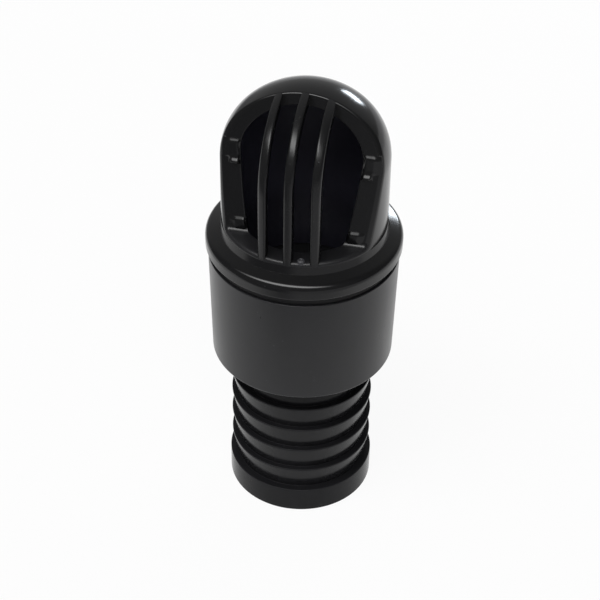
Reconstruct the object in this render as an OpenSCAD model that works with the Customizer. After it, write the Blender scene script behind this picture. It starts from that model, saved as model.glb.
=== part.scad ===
// Spring-loaded foot valve: a domed strainer, a screwed collar and a barbed hose tail.
// It stands on the end of its hose tail, with its axis along Z and the tail's end face at Z = 0.
// Water enters through the strainer's window, pushes the poppet down and leaves through the tail.

/* [Hose tail] */
// Diameter over the upper barbs
barb_d = 32.9; // [31:0.1:33.8]
// Diameter of the plain ring at the tail's end
end_d = 33.8; // [32.9:0.1:42]
// Diameter at the foot of each barb
root_d = 30.4; // [26:0.1:30.6]
// Height from one barb to the next
barb_pitch = 6.3; // [5.2:0.1:8]
// Number of ledges on the tail, counting the end ring's
barb_count = 5; // [5:1:7]
// Straight land at the crest of a barb
barb_land = 0.4; // [0.2:0.1:1]
// Height of the plain ring at the tail's end
end_h = 6.4; // [4:0.1:9]
// Height of the neck between the top ledge and the collar
neck_h = 7.4; // [5:0.1:10]
// Bevel at the tail's end
end_bevel = 0.6; // [0.2:0.1:1.2]
// Diameter of the waterway through the tail
tail_bore_d = 22; // [18:0.1:23]
// Diameter of the wider bore that holds the stem guide
guide_bore_d = 24; // [23.4:0.1:25]
// Height of the step that the stem guide sits on
guide_z = 28; // [24:0.1:30]
// Height of the cup inside the collar
cup_h = 8; // [7:0.1:10]
// Wall of the cup
cup_wall = 2.65; // [2:0.05:3.5]
// Height of the cone between the cup and the guide's bore
cup_cone_h = 2.5; // [1.5:0.1:3.5]

/* [Collar] */
// Height of the collar
collar_h = 27.1; // [25:0.1:36]
// Wall outside the collar's thread
collar_wall = 2.2; // [1.6:0.1:4]
// Radius lost from the collar's top to its bottom
collar_taper = 0.7; // [0:0.1:1]
// Bevel of the collar's outer edges
collar_bevel = 0.4; // [0.2:0.1:0.8]
// Thickness of the lip that holds the tail
lip_t = 3; // [2:0.1:4]
// Width of the lip's hold on the tail
lip_overlap = 0.9; // [0.6:0.1:2]

/* [Thread] */
// Rise of the thread in one turn
thread_pitch = 3; // [2.4:0.1:4]
// Depth of the thread
thread_depth = 1; // [0.7:0.05:1.2]
// Width of the thread's crest
thread_crest = 0.6; // [0.4:0.05:0.8]
// Slope of the thread's flanks, in degrees from square to the axis
thread_flank = 30; // [20:1:35]
// Height over which the thread fades out
thread_fade = 1.2; // [0.8:0.1:2]
// Sides of the thread's round
thread_sides = 48; // [36:12:60]

/* [Strainer head] */
// Diameter of the head
head_d = 37; // [30:0.1:38]
// Wall of the head at its sides
head_wall = 4.5; // [3:0.1:5]
// Wall of the head at the dome's top
crown_wall = 3.6; // [2.5:0.1:4.5]
// Wall of the threaded skirt
skirt_wall = 3.65; // [2.5:0.05:5]
// Flange radius beyond the collar's
flange_overhang = 0.6; // [0:0.1:2]
// Thickness of the flange at its edge
flange_h = 4.3; // [4:0.1:8]
// Rounding of the flange's top edge
flange_round = 1.8; // [0.5:0.1:2.5]
// Bevel of the flange's lower edge
flange_bevel = 0.7; // [0.3:0.1:1]
// Slope of the flange's top, in degrees
flange_slope = 25; // [10:1:30]
// Height of the wall between the flange's edge and the window
sill_h = 3.4; // [2.6:0.1:5]
// Width of that wall's flare at its foot
sill_flare = 0.45; // [0.2:0.05:0.8]
// Height of the window's straight part
window_h = 15.6; // [12:0.1:24]
// Height of the dome above the window's straight part
dome_h = 16.4; // [15.4:0.1:18]
// Rounding of the dome's shoulder
shoulder_r = 15.2; // [12:0.1:15.3]
// Height of the hollow above its straight sides
hollow_rise = 10.5; // [9:0.1:12]
// Rounding of the hollow's shoulder
hollow_shoulder_r = 8.5; // [6:0.1:9]
// Distance of the window's face in front of the axis, at the sill
window_sill_y = 9.3; // [6:0.1:10]
// Distance of the window's face in front of the axis, at the dome's top
window_top_y = 1.3; // [0.5:0.1:3]
// Rounding between the window's face and its sill
window_foot_r = 1.6; // [1:0.1:3]
// Thickness of a rib
rib_t = 1.8; // [1.2:0.1:2.4]
// Distance from one rib to the next
rib_pitch = 5.75; // [4.5:0.05:6]
// Number of ribs
rib_count = 3; // [1:2:3]
// Depth of a rib from the outside
rib_depth = 2.6; // [1.5:0.1:4]
// Width of the lugs on the window's face
lug_w = 3; // [1:0.1:3.2]
// Height of the upper lugs
lug_h = 5.9; // [4:0.1:7]
// Height of the lower lugs above the sill
low_lug_h = 3.4; // [2.4:0.1:4]
// How far the lugs stand out of the window's face
lug_t = 0.6; // [0.3:0.1:1.5]
// Width of the step at the foot of an upper lug
step_w = 2.1; // [0.8:0.1:2.6]
// Height of that step
step_h = 1.5; // [0.8:0.1:2.5]
// How far that step stands out of the window's face
step_t = 1.1; // [0.8:0.1:2]

/* [Valve] */
// Diameter of the hole through the seat
seat_hole_d = 19.6; // [16:0.1:24]
// Height of the seat ring
seat_ring_h = 4.5; // [3.5:0.1:6]
// Depth of the recess under the seat ring
seat_recess = 1.5; // [1:0.1:2]
// Height of the seat's raised lip
seat_lip_h = 0.6; // [0.3:0.1:0.8]
// Width of the seat's raised lip
seat_lip_w = 1.2; // [0.8:0.1:1.6]
// Distance that the poppet opens
poppet_lift = 5.5; // [3:0.1:6]
// Thickness of the poppet's disc
disc_t = 3; // [2:0.1:4]
// Width of the disc outside the seat's lip
disc_margin = 0.6; // [0.4:0.1:1.2]
// Thickness of the poppet's seal
seal_t = 2; // [1:0.1:3]
// Diameter of the stem
stem_d = 4; // [3.3:0.1:5]
// Wall of the stem's wider part that centres the spring
pilot_wall = 0.9; // [0.6:0.1:1.4]
// Length of the stem's wider part
pilot_h = 3.5; // [2.5:0.1:5]
// Depth of the stem's groove for the clip
groove_depth = 0.5; // [0.3:0.1:0.8]
// Length of the stem beyond the clip
stem_tip = 1.4; // [0.8:0.1:3]
// Diameter of the spring's wire
wire_d = 1; // [0.8:0.05:1.2]
// Turns of the spring
spring_turns = 6; // [5:1:7]
// Height of the stem guide
guide_h = 3.5; // [2.5:0.1:5]
// Wall of the guide's rim
guide_rim = 1.7; // [1.2:0.1:2.5]
// Thickness of the guide's arms
guide_arm_t = 1.8; // [1:0.1:3]
// Number of arms
guide_arms = 4; // [3:1:6]

/* [Small parts] */
// Thickness of the gasket under the head's flange
head_gasket_t = 1.3; // [0.8:0.1:2]
// Distance of that gasket's edge behind the collar's side
head_gasket_inset = 0.5; // [0.2:0.1:1]
// Thickness of the gasket under the seat ring
seat_gasket_t = 1.5; // [1:0.1:2.5]
// Thickness of the seal's washer
washer_t = 1; // [0.6:0.1:1.5]
// Diameter of the seal's screw
screw_d = 3.5; // [3:0.1:4]
// Length of the screw under its head
screw_l = 8; // [6:0.1:9]
// Height of the screw's head
screw_head_h = 2; // [1.5:0.1:2.4]
// Thickness of the stem's clip
clip_t = 1; // [0.6:0.1:1.5]
// Width of the clip outside the stem
clip_w = 1.2; // [0.8:0.1:2]

/* [Clearances] */
// Radial gap for the barbs to pass the collar's lip
pass_gap = 0.25; // [0.15:0.05:0.5]
// Radial gap round the pieces inside the collar
insert_gap = 0.2; // [0.1:0.05:0.4]
// Gap between the two threads
thread_gap = 0.25; // [0.2:0.05:0.4]
// Radial running gap of the stem in its guide
stem_gap = 0.05; // [0.02:0.01:0.1]
// Gap round small fixed pieces
small_gap = 0.1; // [0.05:0.05:0.2]
// Gap left at the limit of the poppet's travel
travel_gap = 0.4; // [0.2:0.1:1]
// Gap between the clip and the guide
clip_gap = 0.6; // [0.3:0.1:1]

/* [Hidden] */
$fn = 96;
far = 200;

// Heights, from the tail's end upwards
first_ledge_z = end_h + (barb_count - 1) * barb_pitch;
collar_z = first_ledge_z + neck_h;
lip_z = collar_z + lip_t;
cup_z = lip_z + cup_h;
seat_z = cup_z + seat_gasket_t;
seat_top_z = seat_z + seat_ring_h;
collar_top_z = collar_z + collar_h;
flange_z = collar_top_z + head_gasket_t;
flange_top_z = flange_z + flange_h;
sill_z = flange_top_z + sill_h;
dome_z = sill_z + window_h;
top_z = dome_z + dome_h;
lug_z = dome_z - step_h / 2;
shoulder_z = collar_z - collar_bevel;
seat_face_z = seat_z + seat_recess - seat_lip_h;
seal_z = seat_face_z - seal_t;
disc_z = seal_z - disc_t;
guide_top_z = guide_z + guide_h;
clip_z = guide_z - clip_gap - clip_t;
stem_z = clip_z - stem_tip;
cup_floor_z = disc_z - poppet_lift - travel_gap;

// Radii of the tail and of what passes through or sits in the collar
barb_r = barb_d / 2;
end_r = end_d / 2;
root_r = root_d / 2;
tail_bore_r = tail_bore_d / 2;
guide_bore_r = guide_bore_d / 2;
lip_hole_r = max(end_r, barb_r) + pass_gap;
shoulder_ring_r = lip_hole_r - insert_gap;
insert_r = lip_hole_r + lip_overlap;
cup_r = insert_r - cup_wall;
collar_bore_r = insert_r + insert_gap;

// Radii of the thread, the collar and the head
nut_crest_r = insert_r + insert_gap;
screw_root_r = nut_crest_r - thread_gap;
screw_crest_r = screw_root_r + thread_depth;
nut_root_r = screw_crest_r + thread_gap;
relief_r = nut_root_r + insert_gap;
collar_top_r = nut_root_r + collar_wall;
collar_low_r = collar_top_r - collar_taper;
flange_r = collar_top_r + flange_overhang;
head_r = head_d / 2;
skirt_bore_r = screw_root_r - skirt_wall;

// Arcs of the dome, which start higher where the dome is as tall as half the head is wide
crown_rise = 0.5;
arc_h = min(dome_h, head_r - crown_rise);
arc_r = min(shoulder_r, arc_h - crown_rise);

// Hollow of the head
hollow_r = head_r - head_wall;
hollow_top_z = top_z - crown_wall;
hollow_arc_r = min(hollow_shoulder_r, hollow_r - crown_rise);

// Flange's sloping top, from its rounded edge to the foot of the wall above it
slope_x = flange_r - flange_round * (1 - sin(flange_slope));
slope_z = flange_top_z - flange_round * (1 - cos(flange_slope));
flare_r = head_r + sill_flare;
flare_z = slope_z + (slope_x - flare_r) * tan(flange_slope);

// Lengths of the two threads
relief_h = thread_pitch / 2;
nut_low_z = seat_top_z + relief_h / 2;
nut_high_z = collar_top_z - relief_h / 2;
screw_low_z = nut_low_z + thread_gap;
screw_high_z = flange_z - thread_pitch;

// Radii of the valve and its small parts
seat_hole_r = seat_hole_d / 2;
seat_lip_in_r = seat_hole_r + seat_lip_h;
seat_lip_out_r = seat_lip_in_r + seat_lip_w;
disc_r = seat_lip_out_r + disc_margin;
seat_recess_r = cup_r;
stem_r = stem_d / 2;
pilot_r = stem_r + pilot_wall;
rings_per_turn = 8;
spring_r = (pilot_r + small_gap + wire_d / 2) / cos(180 / rings_per_turn);
hub_r = spring_r + wire_d;
guide_r = guide_bore_r - small_gap;
screw_r = screw_d / 2;
screw_head_r = 2 * screw_r;
screw_recess_w = screw_r / 2;
screw_recess_h = screw_head_h / 2;
washer_r = seat_hole_r - 2 * small_gap - seat_lip_w;
groove_r = stem_r - groove_depth;
clip_r = stem_r + clip_w;
clip_mouth = 2 * groove_r - 2 * small_gap;

function clamp(value, low, high) = min(max(value, low), high);

// Distance of the window's face in front of the axis at a height
function window_y(z) = window_sill_y + (window_top_y - window_sill_y) * (z - sill_z) / (top_z - sill_z);
window_lean = atan2(window_sill_y - window_top_y, top_z - sill_z);
foot_steps = 8;

// Half section with a straight side, a round shoulder and a flatter crown, from a height up to its top
module dome_section(side_r, shoulder, rise, crest_z, low_z) {
    shoulder_x = side_r - shoulder;
    rise_z = crest_z - rise;
    crown = (pow(shoulder_x, 2) + pow(rise, 2) - pow(shoulder, 2)) / (2 * (rise - shoulder));
    crown_z = crest_z - crown;
    meet = atan2(shoulder_x, crown - rise);
    meet_dir = [sin(meet), cos(meet)];
    early_dir = [sin(meet / 2), cos(meet / 2)];
    core = crown - shoulder / 2;
    polygon([[0, low_z], [side_r, low_z], [side_r, rise_z], [0, crown_z] + core * meet_dir, [0, crown_z + core]]);
    intersection() {
        translate([0, crown_z])
            circle(crown);
        translate([0, crown_z])
            polygon([[0, 0], [0, 2 * crown], 2 * crown * meet_dir]);
    }
    intersection() {
        translate([shoulder_x, rise_z])
            circle(shoulder);
        translate([shoulder_x, rise_z])
            polygon([[0, 0], 2 * shoulder * early_dir, [2 * shoulder, 2 * shoulder], [2 * shoulder, 0]]);
    }
}

// Half section of the head's outside, set in by a distance
module outer_section(inset, low_z) {
    dome_section(head_r - inset, arc_r - inset, arc_h - inset, top_z - inset, low_z);
}

// Half section of the flange, with its top edge rounded, and of the flared wall above it
module flange_section() {
    round_x = flange_r - flange_round;
    round_z = flange_top_z - flange_round;
    polygon([[0, flange_z], [flange_r - flange_bevel, flange_z], [flange_r, flange_z + flange_bevel],
        [flange_r, round_z], [round_x, round_z], [slope_x, slope_z], [flare_r, flare_z],
        [head_r, sill_z - sill_flare], [0, sill_z - sill_flare]]);
    intersection() {
        translate([round_x, round_z])
            circle(flange_round);
        polygon([[round_x, round_z], [flange_r + flange_round, round_z],
            [slope_x + slope_x - round_x, slope_z + slope_z - round_z]]);
    }
}

// Round bar from low_z to high_z with a helical ridge between ridge_low_z and ridge_high_z.
// Its rows follow the helix, and those that leave the bar's ends close up on the end rings.
module threaded_bar(root, depth, crest_w, low_z, high_z, ridge_low_z, ridge_high_z) {
    flank_w = thread_depth * tan(thread_flank);
    steps = [-crest_w / 2 - flank_w, -crest_w / 2, crest_w / 2, crest_w / 2 + flank_w];
    heights = [0, 1, 1, 0];
    per_turn = len(steps);
    start_z = flange_z - thread_pitch * ceil((flange_z - low_z) / thread_pitch + 2);
    rows = per_turn * ceil((high_z - start_z) / thread_pitch + 3);
    last = rows - 1;
    sides = thread_sides;
    function row_z(i, j) = let (turns = floor(j / per_turn) + i / sides)
        start_z + thread_pitch * turns + steps[j % per_turn];
    function ridge(z) = clamp(min(z - ridge_low_z, ridge_high_z - z) / thread_fade, 0, 1);
    function spot(i, r, z) = [r * cos(360 * i / sides), r * sin(360 * i / sides), z];
    function point(i, j) = let (z = clamp(row_z(i, j), low_z, high_z))
        spot(i, root + depth * heights[j % per_turn] * ridge(z), z);
    function id(i, j) = let (z = row_z(i, j))
        z <= low_z ? i : z >= high_z ? sides + i : (2 + j) * sides + i;
    function next_id(i, j) = i + 1 < sides ? id(i + 1, j) : id(0, min(j + per_turn, last));
    function whole(face) = face[0] != face[1] && face[1] != face[2] && face[2] != face[0];
    points = concat([for (z = [low_z, high_z]) for (i = [0:sides - 1]) spot(i, root, z)],
        [for (j = [0:last]) for (i = [0:sides - 1]) point(i, j)]);
    sheets = [for (i = [0:sides - 1]) for (j = [0:last - 1])
        for (face = [[id(i, j), id(i, j + 1), next_id(i, j + 1)],
            [id(i, j), next_id(i, j + 1), next_id(i, j)]])
            if (whole(face)) face];
    ends = [[for (i = [0:sides - 1]) i], [for (i = [0:sides - 1]) 2 * sides - 1 - i]];
    polyhedron(points, concat(sheets, ends));
}

// Side view of the space in front of the window's leaning face and above its sill, with a rounded corner
module window_section() {
    foot_z = sill_z + window_foot_r;
    foot_y = -window_y(foot_z) - window_foot_r / cos(window_lean);
    bends = [for (k = [0:foot_steps]) (90 - window_lean) * k / foot_steps];
    polygon(concat([[-far, sill_z]],
        [for (bend = bends) [foot_y, foot_z] + window_foot_r * [sin(bend), -cos(bend)]],
        [[-window_y(top_z + far), top_z + far], [-far, top_z + far]]));
}

module window_space() {
    translate([-far / 2, 0, 0])
        rotate([90, 0, 90])
            linear_extrude(far)
                window_section();
}

// Upright plates that leave the ribs
module rib_plates() {
    for (k = [0:rib_count - 1])
        translate([(k - (rib_count - 1) / 2) * rib_pitch - rib_t / 2, -far, 0])
            cube([rib_t, 2 * far, far]);
}

// Block on the window's face, beside the hollow, that stands out by t
module lug_block(side, z, w, t, h) {
    inner_x = sqrt(pow(hollow_r, 2) - pow(window_y(z + h), 2)) + small_gap;
    translate([side * (inner_x + w / 2), -window_y(z), z])
        rotate([-window_lean, 0, 0])
            translate([-w / 2, -t, 0])
                cube([w, t + lug_t, h]);
}

module strainer_head() {
    color([0.06, 0.06, 0.065]) {
        difference() {
            union() {
                rotate_extrude()
                    outer_section(0, flange_z + flange_h / 2);
                rotate_extrude()
                    flange_section();
                threaded_bar(screw_root_r, thread_depth, thread_crest, seat_top_z, flange_z + flange_h / 2,
                    screw_low_z, screw_high_z);
            }
            rotate_extrude()
                dome_section(hollow_r, hollow_arc_r, hollow_rise, hollow_top_z, flange_z);
            translate([0, 0, seat_top_z - thread_pitch])
                cylinder(r = skirt_bore_r, h = flange_z + flange_bevel - seat_top_z + thread_pitch);
            intersection() {
                window_space();
                union() {
                    difference() {
                        translate([-far / 2, -far, sill_z - sill_h])
                            cube([far, 2 * far, far]);
                        rib_plates();
                    }
                    rotate_extrude()
                        outer_section(rib_depth, sill_z - sill_h);
                }
            }
        }
        for (side = [-1, 1]) {
            lug_block(side, sill_z - small_gap, lug_w, lug_t, low_lug_h);
            lug_block(side, lug_z, lug_w, lug_t, lug_h);
            lug_block(side, lug_z, step_w, step_t, step_h);
        }
    }
}

module head_gasket() {
    color([0.03, 0.03, 0.03])
        translate([0, 0, collar_top_z])
            difference() {
                cylinder(r = collar_top_r - head_gasket_inset, h = head_gasket_t);
                translate([0, 0, -head_gasket_t])
                    cylinder(r = screw_crest_r + insert_gap, h = 3 * head_gasket_t);
            }
}

module collar() {
    core_r = screw_root_r - thread_depth;
    cutter_low_z = nut_low_z - relief_h / 2;
    color([0.09, 0.09, 0.095])
        difference() {
            rotate_extrude()
                polygon([[lip_hole_r, collar_z], [collar_low_r - collar_bevel, collar_z],
                    [collar_low_r, collar_z + collar_bevel], [collar_top_r, collar_top_z - collar_bevel],
                    [collar_top_r - collar_bevel, collar_top_z], [relief_r, collar_top_z],
                    [relief_r, nut_high_z], [core_r, nut_high_z], [core_r, nut_low_z],
                    [relief_r, nut_low_z], [relief_r, nut_low_z - relief_h],
                    [collar_bore_r, nut_low_z - relief_h], [collar_bore_r, lip_z], [lip_hole_r, lip_z]]);
            threaded_bar(nut_crest_r, thread_depth, thread_crest + 2 * thread_gap,
                cutter_low_z, collar_top_z + thread_pitch,
                cutter_low_z - thread_fade, collar_top_z + 2 * thread_pitch);
        }
}

module hose_tail() {
    color([0.06, 0.06, 0.065])
        rotate_extrude()
            polygon(concat(
                [[tail_bore_r, 0], [end_r - end_bevel, 0], [end_r, end_bevel],
                    [end_r, end_h], [root_r, end_h]],
                [for (k = [1:barb_count - 1]) for (p = [[barb_r, -barb_land], [barb_r, 0], [root_r, 0]])
                    [p[0], end_h + k * barb_pitch + p[1]]],
                [[root_r, shoulder_z], [shoulder_ring_r, shoulder_z], [shoulder_ring_r, lip_z],
                    [insert_r, lip_z], [insert_r, cup_z], [cup_r, cup_z], [cup_r, cup_floor_z],
                    [guide_bore_r, cup_floor_z - cup_cone_h], [guide_bore_r, guide_z],
                    [tail_bore_r, guide_z]]));
}

module seat_ring() {
    recess_z = seat_z + seat_recess;
    color([0.75, 0.75, 0.72])
        rotate_extrude()
            polygon([[seat_hole_r, recess_z], [seat_lip_in_r, recess_z], [seat_lip_in_r, seat_face_z],
                [seat_lip_out_r, seat_face_z], [seat_lip_out_r, recess_z], [seat_recess_r, recess_z],
                [seat_recess_r, seat_z], [insert_r, seat_z], [insert_r, seat_top_z],
                [seat_hole_r, seat_top_z]]);
}

module seat_gasket() {
    color([0.03, 0.03, 0.03])
        translate([0, 0, cup_z])
            difference() {
                cylinder(r = insert_r, h = seat_gasket_t);
                translate([0, 0, -seat_gasket_t])
                    cylinder(r = cup_r, h = 3 * seat_gasket_t);
            }
}

module poppet() {
    hole_r = screw_r + small_gap;
    hole_z = seat_face_z + washer_t - screw_l - small_gap;
    groove_low_z = clip_z - small_gap;
    groove_high_z = clip_z + clip_t + small_gap;
    color([0.75, 0.75, 0.72])
        rotate_extrude()
            polygon([[0, stem_z], [stem_r, stem_z], [stem_r, groove_low_z], [groove_r, groove_low_z],
                [groove_r, groove_high_z], [stem_r, groove_high_z], [stem_r, disc_z - pilot_h],
                [pilot_r, disc_z - pilot_h], [pilot_r, disc_z], [disc_r, disc_z], [disc_r, seal_z],
                [hole_r, seal_z], [hole_r, hole_z], [0, hole_z]]);
}

module poppet_seal() {
    color([0.03, 0.03, 0.03])
        translate([0, 0, seal_z])
            difference() {
                cylinder(r = disc_r, h = seal_t);
                translate([0, 0, -seal_t])
                    cylinder(r = screw_r + small_gap, h = 3 * seal_t);
            }
}

module seal_washer() {
    color([0.7, 0.7, 0.72])
        translate([0, 0, seat_face_z])
            difference() {
                cylinder(r = washer_r, h = washer_t);
                translate([0, 0, -washer_t])
                    cylinder(r = screw_r + small_gap, h = 3 * washer_t);
            }
}

module seal_screw() {
    head_z = seat_face_z + washer_t;
    color([0.7, 0.7, 0.72])
        difference() {
            union() {
                translate([0, 0, head_z - screw_l])
                    cylinder(r = screw_r, h = screw_l + screw_head_h / 2);
                translate([0, 0, head_z])
                    cylinder(r = screw_head_r, h = screw_head_h);
            }
            for (turn = [0, 90])
                rotate(turn)
                    translate([-screw_r, -screw_recess_w / 2, head_z + screw_head_h - screw_recess_h])
                        cube([2 * screw_r, screw_recess_w, screw_head_h]);
        }
}

// Spring's wire, swept along a helix between the guide's hub and the poppet's disc
wire_sides = 6;
spring_low_z = guide_top_z + wire_d / 2 + small_gap;
spring_high_z = disc_z - wire_d / 2 - small_gap;
spring_rings = spring_turns * rings_per_turn;
function spring_point(k) = let (turn = 360 * k / rings_per_turn)
    [spring_r * cos(turn), spring_r * sin(turn),
        spring_low_z + (spring_high_z - spring_low_z) * k / spring_rings];
function wire_point(k, s) = let (turn = 360 * k / rings_per_turn, roll = 360 * s / wire_sides)
    spring_point(k) + wire_d / 2 * [cos(roll) * cos(turn), cos(roll) * sin(turn), sin(roll)];
spring_self_gap = min([for (k = [0:spring_rings]) for (m = [k + rings_per_turn - 1:1:spring_rings])
    norm(spring_point(m) - spring_point(k))]) - wire_d;
echo(spring_self_gap = spring_self_gap);

module valve_spring() {
    last = spring_rings;
    function id(k, s) = k * wire_sides + s % wire_sides;
    points = [for (k = [0:last]) for (s = [0:wire_sides - 1]) wire_point(k, s)];
    skin = [for (k = [0:last - 1]) for (s = [0:wire_sides - 1])
        for (face = [[id(k, s), id(k, s + 1), id(k + 1, s + 1)],
            [id(k, s), id(k + 1, s + 1), id(k + 1, s)]])
            face];
    first_end = [for (s = [1:wire_sides - 2]) [id(0, 0), id(0, s + 1), id(0, s)]];
    last_end = [for (s = [1:wire_sides - 2]) [id(last, 0), id(last, s), id(last, s + 1)]];
    color([0.7, 0.7, 0.72])
        polyhedron(points, concat(skin, first_end, last_end));
}

module guide_spider() {
    color([0.75, 0.75, 0.72])
        translate([0, 0, guide_z])
            difference() {
                union() {
                    difference() {
                        cylinder(r = guide_r, h = guide_h);
                        translate([0, 0, -guide_h])
                            cylinder(r = guide_r - guide_rim, h = 3 * guide_h);
                    }
                    cylinder(r = hub_r, h = guide_h);
                    for (k = [0:guide_arms - 1])
                        rotate(360 * k / guide_arms)
                            translate([hub_r / 2, -guide_arm_t / 2, 0])
                                cube([guide_r - guide_rim / 2 - hub_r / 2, guide_arm_t, guide_h]);
                }
                translate([0, 0, -guide_h])
                    cylinder(r = stem_r + stem_gap, h = 3 * guide_h);
            }
}

module stem_clip() {
    color([0.7, 0.7, 0.72])
        translate([0, 0, clip_z])
            difference() {
                cylinder(r = clip_r, h = clip_t);
                translate([0, 0, -clip_t])
                    cylinder(r = groove_r + small_gap, h = 3 * clip_t);
                translate([0, -clip_mouth / 2, -clip_t])
                    cube([2 * clip_r, clip_mouth, 3 * clip_t]);
            }
}

strainer_head();
head_gasket();
collar();
hose_tail();
seat_ring();
seat_gasket();
poppet();
poppet_seal();
seal_washer();
seal_screw();
valve_spring();
guide_spider();
stem_clip();
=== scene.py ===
import math

import bmesh
import bpy
import numpy as np
from mathutils import Matrix, Vector


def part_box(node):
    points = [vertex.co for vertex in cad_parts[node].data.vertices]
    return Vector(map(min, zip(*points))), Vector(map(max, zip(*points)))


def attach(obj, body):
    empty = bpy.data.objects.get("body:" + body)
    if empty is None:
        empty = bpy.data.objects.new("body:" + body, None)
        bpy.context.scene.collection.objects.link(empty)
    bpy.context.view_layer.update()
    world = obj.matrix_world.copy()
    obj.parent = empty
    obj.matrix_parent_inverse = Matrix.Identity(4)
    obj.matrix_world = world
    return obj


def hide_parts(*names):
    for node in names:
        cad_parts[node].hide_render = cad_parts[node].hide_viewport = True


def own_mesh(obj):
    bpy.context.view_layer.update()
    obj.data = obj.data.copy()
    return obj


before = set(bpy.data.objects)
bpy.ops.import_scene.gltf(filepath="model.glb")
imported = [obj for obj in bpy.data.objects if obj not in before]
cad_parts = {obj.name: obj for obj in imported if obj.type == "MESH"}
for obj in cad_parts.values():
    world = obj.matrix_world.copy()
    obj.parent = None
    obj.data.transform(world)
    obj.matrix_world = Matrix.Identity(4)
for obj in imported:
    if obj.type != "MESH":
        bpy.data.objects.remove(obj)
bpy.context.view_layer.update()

# Shapes are drawn in millimetres, with the valve's axis upright, and scaled once when a mesh is made
MM = 0.001


def in_millimetres(corners):
    """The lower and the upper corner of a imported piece's box, from metres."""
    return [Vector(corner) / MM for corner in corners]


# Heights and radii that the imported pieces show
head_low, head_high = in_millimetres(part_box("strainer_head"))
collar_low, collar_high = in_millimetres(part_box("collar"))
tail_high = in_millimetres(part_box("hose_tail"))[1]
gasket_high = in_millimetres(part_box("head_gasket"))[1]
seat_high = in_millimetres(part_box("seat_ring"))[1]
guide_low, guide_high = in_millimetres(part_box("guide_spider"))
spring_low, spring_high = in_millimetres(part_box("valve_spring"))
top_z = head_high.z
skirt_z = head_low.z
flange_z = gasket_high.z
flange_r = head_high.y
collar_z = collar_low.z
collar_top_z = collar_high.z
collar_top_r = collar_high.y
seat_top_z = seat_high.z
cup_z = tail_high.z
insert_r = tail_high.y

# Sizes of the head
head_r = 18.5
flange_top_z = flange_z + 4.3
flange_round = 1.8
flange_bevel = 0.7
flange_slope = math.radians(25)
sill_z = flange_top_z + 3.4
sill_flare = 0.45
flare_r = head_r + sill_flare
arc_h = 16.4
arc_r = 15.2
hollow_r = 14.0
hollow_rise = 11.6
hollow_arc_r = 8.5
hollow_top_z = top_z - 2.5
window_sill_y = 9.3
window_top_y = 1.3
window_slope = (window_sill_y - window_top_y) / (top_z - sill_z)
window_foot_r = 1.6
window_outer_round = 0.9
window_inner_round = 0.4
crisp_low_z = top_z - 9.0
crisp_high_z = top_z - 3.0
crisp_share = 0.5
rib_t = 2.0
rib_pitch = 5.75
rib_count = 3
rib_depth = 2.6
lug_w = 4.0
lug_h = 5.9
low_lug_h = 3.4
lug_z = top_z - arc_h - 0.75
lug_margin = 0.2
lug_root = 0.8
lug_sink = 0.05
lug_near_slope = 0.5
lug_far_slope = 1.6
lug_step_w = 2.6
lug_step_h = 1.6
lug_step_slope = 0.6
gate_x = 2.85
gate_y = 17.35
skirt_r = 18.0
skirt_bore_r = 14.35

# Sizes of the threads
thread_pitch = 3.0
thread_depth = 1.0
thread_crest = 0.6
thread_gap = 0.25
thread_sink = 0.05
thread_flank = thread_depth * math.tan(math.radians(30))
nut_ridge_w = thread_pitch - thread_crest - 2 * thread_gap
nut_root_r = skirt_r + thread_depth + thread_gap
relief_r = nut_root_r + 0.2

# Sizes of the collar and the tail
collar_low_r = collar_top_r - 0.7
lip_z = collar_z + 3.0
lip_hole_r = 17.15
barb_r = 16.45
end_r = 16.9
root_r = 15.2
end_h = 6.4
barb_pitch = 6.3
barb_count = 5
barb_land = 0.4
tail_bore_r = 11.0
guide_bore_r = 12.0
cup_r = insert_r - 2.65
cup_floor_z = 41.5
cup_funnel_h = 2.5
slide_gap = 0.2
wire_d = 1.0
spring_turns = 8.0


class Value:
    """One socket of a node tree, on which sums are written as plain expressions."""

    def __init__(self, wiring, socket):
        self.wiring = wiring
        self.socket = socket

    def other(self, name):
        """Another output of the same node."""
        return Value(self.wiring, self.socket.node.outputs[name])

    def __add__(self, b):
        return self.wiring.maths("ADD", self, b)

    def __radd__(self, a):
        return self.wiring.maths("ADD", a, self)

    def __sub__(self, b):
        return self.wiring.maths("SUBTRACT", self, b)

    def __rsub__(self, a):
        return self.wiring.maths("SUBTRACT", a, self)

    def __mul__(self, b):
        return self.wiring.maths("MULTIPLY", self, b)

    def __rmul__(self, a):
        return self.wiring.maths("MULTIPLY", a, self)

    def __truediv__(self, b):
        return self.wiring.maths("DIVIDE", self, b)

    def __rtruediv__(self, a):
        return self.wiring.maths("DIVIDE", a, self)

    def __neg__(self):
        return self.wiring.maths("MULTIPLY", self, -1.0)


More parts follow.
